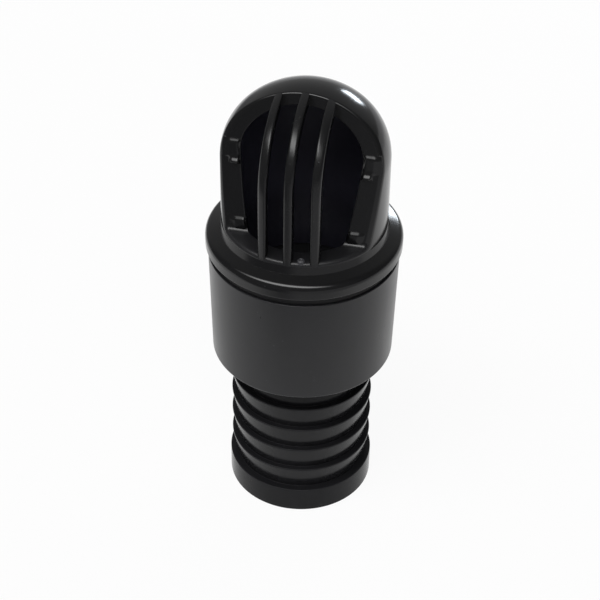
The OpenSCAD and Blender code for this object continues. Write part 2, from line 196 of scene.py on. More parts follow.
class Wiring:
    """Adds the nodes of one tree."""

    def __init__(self, tree):
        self.tree = tree

    def node(self, kind, settings=(), sockets=(), out=0):
        """A new node: its settings first, then the value, link or list of links of each socket."""
        made = self.tree.nodes.new(kind)
        for name, value in dict(settings).items():
            setattr(made, name, value)
        for name, value in dict(sockets).items():
            for one in value if isinstance(value, list) else [value]:
                if isinstance(one, Value):
                    self.tree.links.new(one.socket, made.inputs[name])
                else:
                    made.inputs[name].default_value = one
        return Value(self, made.outputs[out]) if made.outputs else None

    def maths(self, operation, a, b=0.0, c=0.0):
        return self.node("ShaderNodeMath", {"operation": operation}, {0: a, 1: b, 2: c})

    def root(self, a):
        return self.maths("SQRT", self.maths("MAXIMUM", a, 0.0))

    def along(self, place, way):
        """How far a place lies along a direction."""
        return self.node("ShaderNodeVectorMath", {"operation": "DOT_PRODUCT"}, {0: place, 1: way},
                         out="Value")

    def vector(self, x, y, z):
        return self.node("ShaderNodeCombineXYZ", (), {"X": x, "Y": y, "Z": z})

    def ramp(self, value, low, high):
        """A smooth rise from 0 at low to 1 at high."""
        return self.node("ShaderNodeMapRange", {"interpolation_type": "SMOOTHSTEP"},
                         {"Value": value, "From Min": low, "From Max": high})

    def blend(self, factor, a, b):
        return self.node("ShaderNodeMix", {"data_type": "RGBA"}, {0: factor, 6: a, 7: b}, out=2)


# Materials

# Heights between which the painted light on the hollow's wall grows brighter, against the shade under the
# dome
hollow_light_low_z = 67.0
hollow_light_high_z = 76.0


def new_wiring(name):
    """A new material and the wiring of its empty node tree."""
    material = bpy.data.materials.new(name)
    material.use_nodes = True
    material.node_tree.nodes.clear()
    return material, Wiring(material.node_tree)


def noise(wiring, place, scale, detail=2.0, roughness=0.5):
    return wiring.node("ShaderNodeTexNoise", (), {"Vector": place, "Scale": scale, "Detail": detail,
                                                  "Roughness": roughness})


def grey(level):
    """A dark grey with a faint blue in it."""
    return (level, level, level * 1.10, 1.0)


def finish_surface(wiring, colour, shine, skin, skin_height, plain):
    """The last nodes of a material: its skin, and its shader with what is plain all over."""
    bump = wiring.node("ShaderNodeBump", (),
                       {"Strength": 1.0, "Distance": skin_height * MM, "Height": skin})
    shader = wiring.node("ShaderNodeBsdfPrincipled", (),
                         {"Base Color": colour, "Roughness": shine, "Normal": bump, **plain})
    wiring.node("ShaderNodeOutputMaterial", (), {"Surface": shader})


def moulded_plastic(name, level, gloss, grain_size, grain_height, specular):
    """Black moulding: faint clouds in the colour, an uneven gloss, a fine skin, scuffs and a little dust.

    The attribute edge marks rounded edges, which are paler and glossier, and the attribute inside marks
    inner walls, which are duller and painted paler, with a bluish painted light in the hollow that grows
    brighter upwards."""
    material, w = new_wiring(name)
    place = w.node("ShaderNodeTexCoord", out="Object")
    drawn = w.node("ShaderNodeMapping", (), {"Vector": place, "Scale": (1.0, 1.0, 0.12)})
    edge = w.node("ShaderNodeAttribute", {"attribute_name": "edge"}, out="Fac")
    inside = w.node("ShaderNodeAttribute", {"attribute_name": "inside"}, out="Fac")
    clouds = noise(w, place, 110.0, 3.0)
    flow = noise(w, drawn, 900.0, 3.0, 0.6)
    grain = noise(w, place, 1.0 / (grain_size * MM), 2.0)
    scuffs = w.ramp(noise(w, place, 420.0, 4.0, 0.65), 0.62, 0.78)
    specks = w.node("ShaderNodeTexVoronoi", {"feature": "F1"}, {"Vector": place, "Scale": 520.0})
    chosen = w.node("ShaderNodeSeparateColor", (), {"Color": specks.other("Color")})
    dust = (1.0 - w.ramp(specks, 0.03, 0.07)) * w.ramp(chosen, 0.86, 0.88)
    colour = w.blend(clouds, grey(level * 0.75), grey(level * 1.25))
    colour = w.blend(scuffs * 0.35, colour, grey(level * 2.2))
    colour = w.blend(edge * 0.4, colour, grey(level * 2.0))
    # Painted light: inner walls are painted paler, and the hollow bluish and brighter towards its top,
    # where the dome shades it
    colour = w.blend(inside, colour, grey(level * 4.6))
    height = w.node("ShaderNodeSeparateXYZ", (), {"Vector": place}, out="Z")
    hollow_light_rise = w.ramp(height, hollow_light_low_z * MM, hollow_light_high_z * MM)
    hollow = w.blend(hollow_light_rise, (level * 3.6, level * 3.5, level * 5.5, 1.0),
                     (level * 7.0, level * 6.8, level * 10.2, 1.0))
    colour = w.blend(w.ramp(inside, 0.65, 1.0), colour, hollow)
    colour = w.blend(dust * 0.5, colour, grey(0.11))
    shine = (gloss + (clouds - 0.5) * 0.10 + (flow - 0.5) * 0.05 + scuffs * 0.10 + dust * 0.25
             - edge * 0.04 + inside * 0.35)
    skin = grain + flow * 0.25 + dust * 1.5
    finish_surface(w, colour, shine, skin, grain_height, {"Specular IOR Level": specular})
    return material


def soft_rubber(name, level):
    """Matt black rubber with a talc bloom in its hollows."""
    material, w = new_wiring(name)
    place = w.node("ShaderNodeTexCoord", out="Object")
    bloom = noise(w, place, 260.0, 4.0, 0.6)
    grain = noise(w, place, 2600.0, 2.0)
    colour = w.blend(w.ramp(bloom, 0.45, 0.8), grey(level), grey(level * 2.4))
    shine = 0.5 + bloom * 0.2
    finish_surface(w, colour, shine, grain, 0.006, {"Specular IOR Level": 0.3})
    return material


def drawn_steel(name):
    """Stainless steel with fine drawing lines and faint water marks."""
    material, w = new_wiring(name)
    place = w.node("ShaderNodeTexCoord", out="Object")
    drawn = w.node("ShaderNodeMapping", (), {"Vector": place, "Scale": (1.0, 1.0, 8.0)})
    lines = noise(w, drawn, 1800.0, 3.0, 0.6)
    marks = w.ramp(noise(w, place, 500.0, 3.0), 0.5, 0.75)
    colour = w.blend(marks * 0.5, (0.56, 0.56, 0.57, 1.0), (0.40, 0.39, 0.38, 1.0))
    shine = 0.22 + lines * 0.14 + marks * 0.14
    finish_surface(w, colour, shine, lines, 0.004, {"Metallic": 1.0})
    return material


head_plastic = moulded_plastic("head_plastic", level=0.0040, gloss=0.15, specular=0.40,
                               grain_size=0.55, grain_height=0.004)
tail_plastic = moulded_plastic("tail_plastic", level=0.0120, gloss=0.18, specular=0.11,
                               grain_size=0.50, grain_height=0.004)
rib_plastic = moulded_plastic("rib_plastic", level=0.0060, gloss=0.26, specular=0.40,
                              grain_size=0.45, grain_height=0.006)
torn_plastic = moulded_plastic("torn_plastic", level=0.05, gloss=0.45, specular=0.40,
                               grain_size=0.20, grain_height=0.010)
collar_plastic = moulded_plastic("collar_plastic", level=0.0165, gloss=0.30, specular=0.31,
                                 grain_size=0.28, grain_height=0.006)
valve_plastic = moulded_plastic("valve_plastic", level=0.007, gloss=0.45, specular=0.25,
                                grain_size=0.40, grain_height=0.006)
seal_rubber = soft_rubber("seal_rubber", 0.006)
steel = drawn_steel("steel")


# Turned pieces


def unit(arm):
    return arm / np.linalg.norm(arm)


def rounded_outline(corners, steps=6, support=0.12):
    """Points (radius, height, edge) of a closed half section whose corners are rounded.

    A corner is given as (radius, height, rounding). Beside each rounding lies a point that keeps the flat
    next to it flat, support away from it or less."""
    points = []
    for k, (radius, height, rounding) in enumerate(corners):
        corner = np.array((radius, height))
        back = np.array(corners[k - 1][:2]) - corner
        ahead = np.array(corners[(k + 1) % len(corners)][:2]) - corner
        margins = [min(support, 0.2 * np.linalg.norm(arm)) for arm in (back, ahead)]
        back, ahead = unit(back), unit(ahead)
        half = math.acos(np.clip(back @ ahead, -1.0, 1.0)) / 2
        reach = rounding / math.tan(half)
        centre = corner + unit(back + ahead) * rounding / math.sin(half)
        sweep = math.pi - 2 * half
        first = corner + back * reach - centre
        last = corner + ahead * reach - centre
        points.append((*(corner + back * (reach + margins[0])), 0.0))
        for step in range(steps + 1):
            share = step / steps
            arm = math.sin((1 - share) * sweep) * first + math.sin(share * sweep) * last
            points.append((*(centre + arm / math.sin(sweep)), math.sin(math.pi * share)))
        points.append((*(corner + ahead * (reach + margins[1])), 0.0))
    return points


def piece(name, spots, faces, edges, material, insides=None):
    """One closed, smooth mesh from places in millimetres.

    The attribute edge says how rounded each place is, and the attribute inside how far it belongs to an
    inner wall."""
    mesh = bpy.data.meshes.new(name)
    mesh.from_pydata([tuple(MM * c for c in spot) for spot in spots], [], faces)
    for label, values in (("edge", edges), ("inside", insides)):
        if values is not None:
            marks = mesh.attributes.new(label, "FLOAT", "POINT")
            marks.data.foreach_set("value", np.array(values, np.float32))
    shape = bmesh.new()
    shape.from_mesh(mesh)
    bmesh.ops.holes_fill(shape, edges=[e for e in shape.edges if e.is_boundary])
    bmesh.ops.recalc_face_normals(shape, faces=shape.faces)
    for face in shape.faces:
        face.smooth = True
    shape.to_mesh(mesh)
    shape.free()
    mesh.materials.append(material)
    made = bpy.data.objects.new(name, mesh)
    bpy.context.collection.objects.link(made)
    return made


def turned(name, corners, material, inside_r=0.0, sides=192):
    """A rounded half section turned around the axis, with what lies within inside_r marked as inside."""
    outline = rounded_outline(corners)
    count = len(outline)
    spots, edges, faces = [], [], []
    for k in range(sides):
        turn = 2 * math.pi * k / sides
        spots += [(r * math.cos(turn), r * math.sin(turn), z) for r, z, _ in outline]
        edges += [edge for _, _, edge in outline]
        here, there = k * count, (k + 1) % sides * count
        faces += [(here + j, there + j, there + (j + 1) % count, here + (j + 1) % count)
                  for j in range(count)]
    insides = [float(r < inside_r) for r, _, _ in outline] * sides
    return piece(name, spots, faces, edges, material, insides)


def make_base():
    """The head's flange, the flared wall above it and the skirt below it."""
    flange_crest_z = flange_top_z + flange_round * (1 / math.cos(flange_slope) - 1)
    edge_z = flange_crest_z - flange_round * math.tan(flange_slope)
    foot_z = edge_z + (flange_r - flare_r) * math.tan(flange_slope)
    return turned("head_base", [
        (skirt_bore_r, skirt_z, 0.3), (skirt_r, skirt_z, 0.5), (skirt_r, flange_z, 0.2),
        (flange_r - flange_bevel, flange_z, 0.15), (flange_r, flange_z + flange_bevel, 0.25),
        (flange_r, edge_z, flange_round), (flare_r, foot_z, 0.02),
        (head_r - 0.03, sill_z - sill_flare - 0.4, 0.1), (head_r - 1.0, sill_z - 1.2, 0.05),
        (hollow_r + 1.0, flange_top_z + 0.5, 0.05), (hollow_r + 0.06, flange_top_z, 0.02),
        (skirt_bore_r, flange_z - 3.0, 0.5)], head_plastic, inside_r=skirt_bore_r + 0.5)


def make_gate():
    """The stub of the moulding's gate on the sill between two ribs, with the runner's dimple."""
    gate = turned("gate_stub", [
        (0.15, -0.5, 0.02), (0.85, -0.5, 0.05), (0.8, 0.35, 0.25), (0.45, 0.6, 0.1),
        (0.15, 0.25, 0.05)], torn_plastic, sides=24)
    gate.data.transform(Matrix.Translation(Vector((gate_x, -gate_y, sill_z)) * MM))
    return gate


def make_collar():
    """The tapered sleeve, with a relief above and below its thread and a lip under the tail's cup."""
    mouth_z = collar_top_z - 0.2
    thread_top_z = collar_top_z - 0.75
    thread_low_z = seat_top_z + 0.75
    bore_top_z = seat_top_z - 0.75
    bore_r = insert_r + slide_gap
    return turned("collar_sleeve", [
        (lip_hole_r, collar_z, 0.3), (collar_low_r, collar_z, 0.5), (collar_top_r, mouth_z, 0.15),
        (relief_r, mouth_z, 0.1), (relief_r, thread_top_z, 0.08), (nut_root_r, thread_top_z - 0.1, 0.08),
        (nut_root_r, thread_low_z + 0.1, 0.08), (relief_r, thread_low_z, 0.08),
        (relief_r, bore_top_z, 0.2), (bore_r, bore_top_z, 0.2), (bore_r, lip_z, 0.2),
        (lip_hole_r, lip_z, 0.2)], collar_plastic)


def make_tail():
    """The barbed spigot, with the cup above it and the ledge in its bore that the guide rests on."""
    barbs = []
    for k in range(1, barb_count):
        ledge_z = end_h + k * barb_pitch
        barbs += [(barb_r, ledge_z - barb_land, 0.25), (barb_r, ledge_z, 0.12), (root_r, ledge_z, 0.06)]
    neck_r = lip_hole_r - slide_gap
    neck_z = collar_z - 0.4
    return turned("barbed_tail", [
        (tail_bore_r, 0.0, 0.4), (end_r, 0.0, 0.25), (end_r, end_h, 0.2), (root_r, end_h, 0.06), *barbs,
        (root_r, neck_z, 0.1), (neck_r, neck_z, 0.1), (neck_r, lip_z, 0.1), (insert_r, lip_z, 0.3),
        (insert_r, cup_z, 0.3), (cup_r, cup_z, 0.3), (cup_r, cup_floor_z, 0.6),
        (guide_bore_r, cup_floor_z - cup_funnel_h, 0.6), (guide_bore_r, guide_low.z, 0.1),
        (tail_bore_r, guide_low.z, 0.2)], tail_plastic)


# The head's domed shell


def window_y(z):
    """Distance of the window's leaning face in front of the axis."""
    return window_sill_y - window_slope * (z - sill_z)


def dome_outline(side_r, shoulder_r, rise, crest_z, low_z, spacing=0.04):
    """Points (radius, height) up a round side, over its shoulder and up to the crest."""
    shoulder_x, shoulder_z = side_r - shoulder_r, crest_z - rise
    crown_r = (shoulder_x ** 2 + rise ** 2 - shoulder_r ** 2) / (2 * (rise - shoulder_r))
    crown_z = crest_z - crown_r
    meet = math.atan2(shoulder_z - crown_z, shoulder_x)
    side_z = np.arange(low_z, shoulder_z, spacing)
    shoulder_turn = np.arange(0, meet, spacing / shoulder_r)
    crown_turn = np.append(np.arange(meet, math.pi / 2, spacing / crown_r), math.pi / 2)
    radius = [np.full_like(side_z, side_r), shoulder_x + shoulder_r * np.cos(shoulder_turn),
              crown_r * np.cos(crown_turn)]
    height = [side_z, shoulder_z + shoulder_r * np.sin(shoulder_turn),
              crown_z + crown_r * np.sin(crown_turn)]
    radius[-1][-1] = 0.0
    return np.concatenate(radius), np.concatenate(height)


def outer_outline(inset, low_z, spacing=0.04):
    """The dome's outside, moved in by inset."""
    return dome_outline(head_r - inset, arc_r - inset, arc_h - inset, top_z - inset, low_z, spacing)


# Columns around half the window: along the sill, around its foot and up the leg
sill_columns = 44
foot_columns = 14
leg_columns = 90
half_columns = sill_columns + foot_columns + leg_columns

# Rows up a wall, and rows that round the window's outer and inner edge
wall_rows = 11
outer_bends = 6
inner_bends = 5

# Shares of the way across the window's face at which its rows lie, close together at both edges
face_shares = (0.0, 0.04, 0.3, 0.6, 0.96, 1.0)

# How dull the sill is, next to the hollow's wall, and how much of the inner walls' painted paler colour
# it takes
sill_dullness_and_painted_light = 0.6


def crispness(z):
    """Share of the window edge's rounding at a height: the edge is crisper over the top."""
    return np.interp(z, (crisp_low_z, crisp_high_z), (1.0, crisp_share))


def window_loop(outline, share, leg_back, sill_drop):
    """Closed line around the window on a round wall, from the sill's middle by the right leg and back.

    At share 1 it runs along the window's edge, set back by leg_back and lowered by sill_drop. At share 0
    it runs over the top of the head, down both sides and through the flange."""
    radius, height = outline
    steps = np.arange(len(radius))
    low_z = flange_z + 0.8
    level = low_z + share * (sill_z - sill_drop - low_z)

    def reach(z):
        return share * (window_y(z) - leg_back * crispness(z))

    lean = math.atan(share * window_slope)
    foot_z = level + window_foot_r
    foot_y = reach(foot_z) + window_foot_r / math.cos(lean)
    wall = np.interp(level, height, radius)
    turns = np.linspace(0, math.acos(foot_y / wall), sill_columns + 1)
    sill = np.stack([wall * np.sin(turns), -wall * np.cos(turns), np.full_like(turns, level)], axis=1)
    bends = np.linspace(math.pi / 2, lean, foot_columns + 1)[1:]
    bend_y, bend_z = foot_y - window_foot_r * np.cos(bends), foot_z - window_foot_r * np.sin(bends)
    bend_r = np.interp(bend_z, height, radius)
    foot = np.stack([np.sqrt(bend_r ** 2 - bend_y ** 2), -bend_y, bend_z], axis=1)
    ahead = radius - reach(height)
    last = np.nonzero(ahead > 0)[0][-1]
    top = min(last + ahead[last] / (ahead[last] - ahead[last + 1]), len(radius) - 1.0)
    first = np.interp(bend_z[-1], height, steps)
    close_to_top = top - np.geomspace(1e-4, 6, 60)
    path = np.sort(np.concatenate([np.arange(math.ceil(first), last), close_to_top, [first, top]]))
    leg_r, leg_z = np.interp(path, steps, radius), np.interp(path, steps, height)
    leg_x = np.sqrt(np.maximum(leg_r ** 2 - reach(leg_z) ** 2, 0))
    leg_x[-1] = 0.0
    run = np.stack([leg_x, -reach(leg_z), leg_z], axis=1)
    length = np.append(0, np.cumsum(np.linalg.norm(np.diff(run, axis=0), axis=1)))
    even = np.linspace(0, length[-1], leg_columns + 1)[1:]
    leg = np.stack([np.interp(even, length, run[:, c]) for c in range(3)], axis=1)
    right = np.concatenate([sill, foot, leg])
    return np.concatenate([right, right[-2:0:-1] * (-1, 1, 1)])


def bent(start, corner, end, steps):
    """Rows that round a corner off between two rows, along a round arc."""
    rows = []
    for k in range(1, steps + 1):
        s = k / (steps + 1)
        weights = ((1 - s) ** 2, 2 * s * (1 - s) * math.sqrt(0.5), s ** 2)
        row = (start * weights[0] + corner * weights[1] + end * weights[2]) / sum(weights)
        rows.append((row, math.sin(math.pi * s)))
    return rows


def make_shell(behind=56):
    """The domed shell around the window, with its legs, its sill and its hollow.

    Rows of places run around the window, from the outer wall over its face into the hollow. Behind the
    first and the last row the two walls go on around the back, in as many steps as behind says."""
    outer = outer_outline(0.0, flange_z)
    inner = dome_outline(hollow_r, hollow_arc_r, hollow_rise, hollow_top_z, flange_z)
    outer_rim = window_loop(outer, 1.0, 0.0, 0.0)
    inner_rim = window_loop(inner, 1.0, 0.0, 0.0)
    across = inner_rim - outer_rim
    width = np.linalg.norm(across, axis=1, keepdims=True)
    face_start = outer_rim + across / width * window_outer_round * crispness(outer_rim[:, 2:])
    face_end = inner_rim - across / width * window_inner_round * crispness(inner_rim[:, 2:])
    rows = [(window_loop(outer, share, window_outer_round, window_outer_round), 0.0)
            for share in np.linspace(0, 1, wall_rows)]
    edge_row = len(rows)
    rows += bent(rows[-1][0], outer_rim, face_start, outer_bends)
    rows += [(face_start + (face_end - face_start) * share, 0.0) for share in face_shares]
    inner_rows = [(window_loop(inner, share, window_inner_round, window_inner_round), 0.0)
                  for share in np.linspace(1, 0, wall_rows)]
    hollow_row = len(rows)
    rows += bent(face_end, inner_rim, inner_rows[0][0], inner_bends)
    rows += inner_rows
    around = 2 * half_columns
    spots = np.concatenate([row for row, _ in rows])
    edges = [edge for _, edge in rows for _ in range(around)]
    faces = []
    for here in range(0, (len(rows) - 1) * around, around):
        there = here + around
        faces += [(here + i, here + (i + 1) % around, there + (i + 1) % around, there + i)
                  for i in range(around)]
    low = half_columns - leg_columns
    feet = []
    for first in (0, (len(rows) - 1) * around):
        side = spots[first + low:first + half_columns]
        grid = [[first + low + i for i in range(leg_columns)]]
        for turn in np.linspace(0, math.pi, behind + 1)[1:-1]:
            grid.append([len(spots) + i for i in range(leg_columns)])
            ring = [side[:, 0] * math.cos(turn), side[:, 0] * math.sin(turn), side[:, 2]]
            spots = np.concatenate([spots, np.stack(ring, axis=1)])
            edges += [0.0] * leg_columns
        grid.append([first + around - low - i for i in range(leg_columns)])
        crown = first + half_columns
        for here, there in zip(grid, grid[1:]):
            faces += [(here[i], there[i], there[i + 1], here[i + 1]) for i in range(leg_columns - 1)]
            faces.append((here[-1], there[-1], crown))
        front = [first + (around - low + i) % around for i in range(1, 2 * low)]
        feet.append([column[0] for column in grid] + front)
    pairs = list(zip(*feet))
    faces += [(here[0], there[0], there[1], here[1]) for here, there in zip(pairs, pairs[1:] + pairs[:1])]
    column = np.minimum(np.arange(around), around - np.arange(around))
    # The sill beside the feet is marked partly inside: duller, and painted paler
    dull = sill_dullness_and_painted_light * np.interp(column, (sill_columns, sill_columns + foot_columns), (1.0, 0.0))
    insides = []
    for k in range(len(rows)):
        share = np.interp(k, (hollow_row, hollow_row + inner_bends), (0.0, 1.0))
        on_face = float(edge_row <= k)
        insides += np.maximum(share, dull * on_face).tolist()
    insides += [float(part) for part in (0, 1) for _ in range((behind - 1) * leg_columns)]
    shell = piece("head_shell", spots.tolist(), faces, edges, head_plastic, insides)
    shell.data.set_sharp_from_angle(angle=math.radians(60))
    return shell


# Pieces that follow a rule


def new_rule(name, sizes):
    """A geometry tree with named inputs, and its first geometry."""
    tree = bpy.data.node_groups.new(name, "GeometryNodeTree")
    tree.interface.new_socket("Geometry", in_out="INPUT", socket_type="NodeSocketGeometry")
    kinds = {int: "NodeSocketInt", float: "NodeSocketFloat"}
    for label, value in sizes.items():
        kind = kinds.get(type(value), "NodeSocketMaterial")
        tree.interface.new_socket(label, in_out="INPUT", socket_type=kind)
    tree.interface.new_socket("Geometry", in_out="OUTPUT", socket_type="NodeSocketGeometry")
    w = Wiring(tree)
    return w, w.node("NodeGroupInput")


def end_rule(w, geometry, material):
    """The last nodes of a rule: smooth shading, plain geometry and its material."""
    geometry = w.node("GeometryNodeSetShadeSmooth", (), {"Geometry": geometry})
    geometry = w.node("GeometryNodeRealizeInstances", (), {"Geometry": geometry})
    geometry = w.node("GeometryNodeSetMaterial", (), {"Geometry": geometry, "Material": material})
    w.node("NodeGroupOutput", (), {"Geometry": geometry})


def grown(name, start, wiring, sizes):
    """The plain mesh that a rule makes from a start mesh and its sizes."""
    made = bpy.data.objects.new(name, start)
    bpy.context.collection.objects.link(made)
    modifier = made.modifiers.new("rule", "NODES")
    modifier.node_group = wiring.tree
    for item in wiring.tree.interface.items_tree:
        if item.in_out == "INPUT" and item.name in sizes:
            modifier[item.identifier] = sizes[item.name]
    graph = bpy.context.evaluated_depsgraph_get()
    mesh = bpy.data.meshes.new_from_object(made.evaluated_get(graph), preserve_all_data_layers=True,
                                           depsgraph=graph)
    made.modifiers.remove(modifier)
    made.data = mesh
    return made


def make_ribs():
    """Upright ribs that follow the dome's outside from the sill up to the window's top."""
    sizes = {"Ribs": rib_count, "Pitch": rib_pitch * MM, "Thickness": rib_t * MM, "Depth": rib_depth * MM,
             "Rounding": 0.6 * MM, "Head Radius": head_r * MM, "Stop": 0.3 * MM, "Finish": rib_plastic}
    w, start = new_rule("ribs_over_the_dome", sizes)
    pitch, ribs = start.other("Pitch"), start.other("Ribs")
    line = w.node("GeometryNodeMeshToCurve", (), {"Mesh": start})
    copies = w.node("GeometryNodeDuplicateElements", {"domain": "SPLINE"},
                    {"Geometry": line, "Amount": ribs})
    side = (copies.other("Duplicate Index") - (ribs - 1.0) / 2.0) * pitch
    place = w.node("ShaderNodeSeparateXYZ", (), {"Vector": w.node("GeometryNodeInputPosition")})
    reach = w.root(place.other("Y") * place.other("Y") - side * side)
    laid = w.node("GeometryNodeSetPosition", (),
                  {"Geometry": copies, "Position": w.vector(side, -reach, place.other("Z"))})
    spot = w.node("ShaderNodeSeparateXYZ", (), {"Vector": w.node("GeometryNodeInputPosition")})
    past = w.node("FunctionNodeCompare", {"data_type": "FLOAT", "operation": "GREATER_THAN"},
                  {"A": spot.other("Y"), "B": -start.other("Stop")})
    cut = w.node("GeometryNodeDeleteGeometry", {"domain": "POINT"}, {"Geometry": laid, "Selection": past})
    even = w.node("GeometryNodeResampleCurve", {"mode": "LENGTH"}, {"Curve": cut, "Length": 0.35 * MM})
    tangent = w.node("GeometryNodeInputTangent")
    noted = w.node("GeometryNodeStoreNamedAttribute", {"data_type": "FLOAT_VECTOR", "domain": "POINT"},
                   {"Geometry": even, "Name": "along", "Value": tangent})
    noted = w.node("GeometryNodeStoreNamedAttribute", {"data_type": "FLOAT", "domain": "POINT"},
                   {"Geometry": noted, "Name": "side", "Value": spot.other("X")})
    section = w.node("GeometryNodeCurvePrimitiveQuadrilateral", {"mode": "RECTANGLE"},
                     {"Width": start.other("Thickness"), "Height": start.other("Depth")})
    section = w.node("GeometryNodeFilletCurve", {"mode": "POLY"},
                     {"Curve": section, "Count": 5, "Radius": start.other("Rounding"),
                      "Limit Radius": True})
    section = w.node("GeometryNodeTransform", (),
                     {"Geometry": section, "Translation": w.vector(0.0, start.other("Depth") / 2.0, 0.0)})
    swept = w.node("GeometryNodeCurveToMesh", (),
                   {"Curve": noted, "Profile Curve": section, "Fill Caps": True})
    along = w.node("GeometryNodeInputNamedAttribute", {"data_type": "FLOAT_VECTOR"}, {"Name": "along"})
    along = w.node("ShaderNodeSeparateXYZ", (), {"Vector": along})
    middle = w.node("GeometryNodeInputNamedAttribute", {"data_type": "FLOAT"}, {"Name": "side"})
    head = start.other("Head Radius")
    slope = middle / w.root(head * head - middle * middle)
    drop = slope * (spot.other("X") - middle)
    offset = w.vector(0.0, along.other("Z") * drop, -along.other("Y") * drop)
    shaped = w.node("GeometryNodeSetPosition", (), {"Geometry": swept, "Offset": offset})
    end_rule(w, shaped, start.other("Finish"))
    radius, height = outer_outline(0.03, flange_top_z + 1.0, spacing=0.06)
    guide = bpy.data.meshes.new("dome_line")
    guide.from_pydata([(0.0, -r * MM, z * MM) for r, z in zip(radius, height)],
                      [(k, k + 1) for k in range(len(radius) - 1)], [])
    return grown("head_ribs", guide, w, sizes)


# Outlines of the lugs up the window's face, as (distance from the foot, how far it stands out)
low_lug_outline = ((0.0, 0.2), (2.4, 0.5), (3.3, -0.02), (low_lug_h, -0.05))
upper_lug_outline = ((0.0, -0.05), (0.15, 0.8), (0.5, 0.95), (1.6, 0.28), (2.4, 0.22), (4.85, 0.52),
                     (5.8, -0.02), (lug_h, -0.05))


def lug_spots(low_z, outline, step_h, steps, smoothing=8):
    """Places of one right-hand lug's skin, which rises out of the window's face beside the hollow.

    Its foot, up to step_h, is narrower than the rest."""
    radius, level = dome_outline(hollow_r, hollow_arc_r, hollow_rise, hollow_top_z, flange_z)
    lean = math.atan(window_slope)
    distance, stands_out = zip(*outline)
    aside, along = np.meshgrid(np.linspace(0, lug_w, steps), np.linspace(0, distance[-1], steps))
    z = low_z + along * math.cos(lean)
    wide = np.interp(aside, (0, lug_near_slope, lug_w - lug_far_slope, lug_w), (0, 1, 1, 0))
    narrow = np.interp(aside, (0, lug_near_slope, lug_step_w - lug_step_slope, lug_step_w), (0, 1, 1, 0))
    share = np.where(along < step_h, narrow, wide)
    out = np.interp(along, distance, stands_out) * share - lug_sink * (1 - share)
    for _ in range(smoothing):
        out[1:-1] = (out[:-2] + 2 * out[1:-1] + out[2:]) / 4
        out[:, 1:-1] = (out[:, :-2] + 2 * out[:, 1:-1] + out[:, 2:]) / 4
    x = np.sqrt(np.interp(z, level, radius) ** 2 - window_y(z) ** 2) + lug_margin + aside
    y = -window_y(z) - out * math.cos(lean)
    return np.stack([x, y, z + out * math.sin(lean)], axis=2).reshape(-1, 3)


def make_lugs(steps=60):
    """Rounded lugs on the window's face, two on each side, the upper ones with a step at their foot."""
    sizes = {"Finish": head_plastic}
    w, start = new_rule("lugs_on_both_sides", sizes)
    other = w.node("GeometryNodeTransform", (), {"Geometry": start, "Scale": (-1.0, 1.0, 1.0)})
    other = w.node("GeometryNodeFlipFaces", (), {"Mesh": other})
    both = w.node("GeometryNodeJoinGeometry", (), {"Geometry": [start, other]})
    end_rule(w, both, start.other("Finish"))
    spots, faces = [], []
    for low_z, outline, step_h in ((sill_z + 0.1, low_lug_outline, 0.0),
                                   (lug_z, upper_lug_outline, lug_step_h)):
        skin = lug_spots(low_z, outline, step_h, steps)
        front, back = len(spots), len(spots) + len(skin)
        spots += skin.tolist() + (skin + (0.0, lug_root, 0.0)).tolist()
        for base, way in ((front, 1), (back, -1)):
            for low in range(base, base + (steps - 1) * steps, steps):
                high = low + steps
                faces += [(low + i, low + i + 1, high + i + 1, high + i)[::way] for i in range(steps - 1)]
        rim = list(range(steps)) + [(j + 1) * steps - 1 for j in range(1, steps)]
        rim += [steps * steps - 2 - i for i in range(steps - 1)]
        rim += [(steps - 2 - j) * steps for j in range(steps - 2)]
        faces += [(front + a, back + a, back + b, front + b) for a, b in zip(rim, rim[1:] + rim[:1])]
    lug = piece("window_lugs", spots, faces, [0.0] * len(spots), head_plastic)
    start_mesh = lug.data
    bpy.data.objects.remove(lug)
    return grown("window_lugs", start_mesh, w, sizes)


def make_thread(name, radius, turns, low_z, root_w, crest_w, depth, finish):
    """A helical ridge on a round wall, which stands out by depth, or in where depth is negative."""
    sizes = {"Radius": radius * MM, "Turns": float(turns), "Pitch": thread_pitch * MM, "Low": low_z * MM,
             "Root Width": root_w * MM, "Crest Width": crest_w * MM, "Depth": abs(depth) * MM,
             "Way": math.copysign(1.0, -depth), "Finish": finish}
    w, start = new_rule("thread_on_a_wall", sizes)
    turns_in, radius_in = start.other("Turns"), start.other("Radius")
    helix = w.node("GeometryNodeCurveSpiral", (),
                   {"Resolution": 96, "Rotations": turns_in, "Start Radius": radius_in,
                    "End Radius": radius_in, "Height": turns_in * start.other("Pitch")})
    helix = w.node("GeometryNodeTransform", (),
                   {"Geometry": helix, "Translation": w.vector(0.0, 0.0, start.other("Low"))})
    helix = w.node("GeometryNodeSetCurveNormal", {"mode": "Z_UP"}, {"Curve": helix})
    section = w.node("GeometryNodeCurvePrimitiveQuadrilateral", {"mode": "TRAPEZOID"},
                     {"Bottom Width": start.other("Root Width"), "Top Width": start.other("Crest Width"),
                      "Height": start.other("Depth"), "Offset": 0.0})
    section = w.node("GeometryNodeFilletCurve", {"mode": "POLY"},
                     {"Curve": section, "Count": 3, "Radius": 0.12 * MM, "Limit Radius": True})
    section = w.node("GeometryNodeTransform", (), {
        "Geometry": section,
        "Translation": w.vector(start.other("Way") * start.other("Depth") / 2.0, 0.0, 0.0),
        "Rotation": w.vector(0.0, 0.0, start.other("Way") * (-math.pi / 2))})
    swept = w.node("GeometryNodeCurveToMesh", (),
                   {"Curve": helix, "Profile Curve": section, "Fill Caps": True})
    end_rule(w, swept, start.other("Finish"))
    return grown(name, bpy.data.meshes.new("thread_start"), w, sizes)


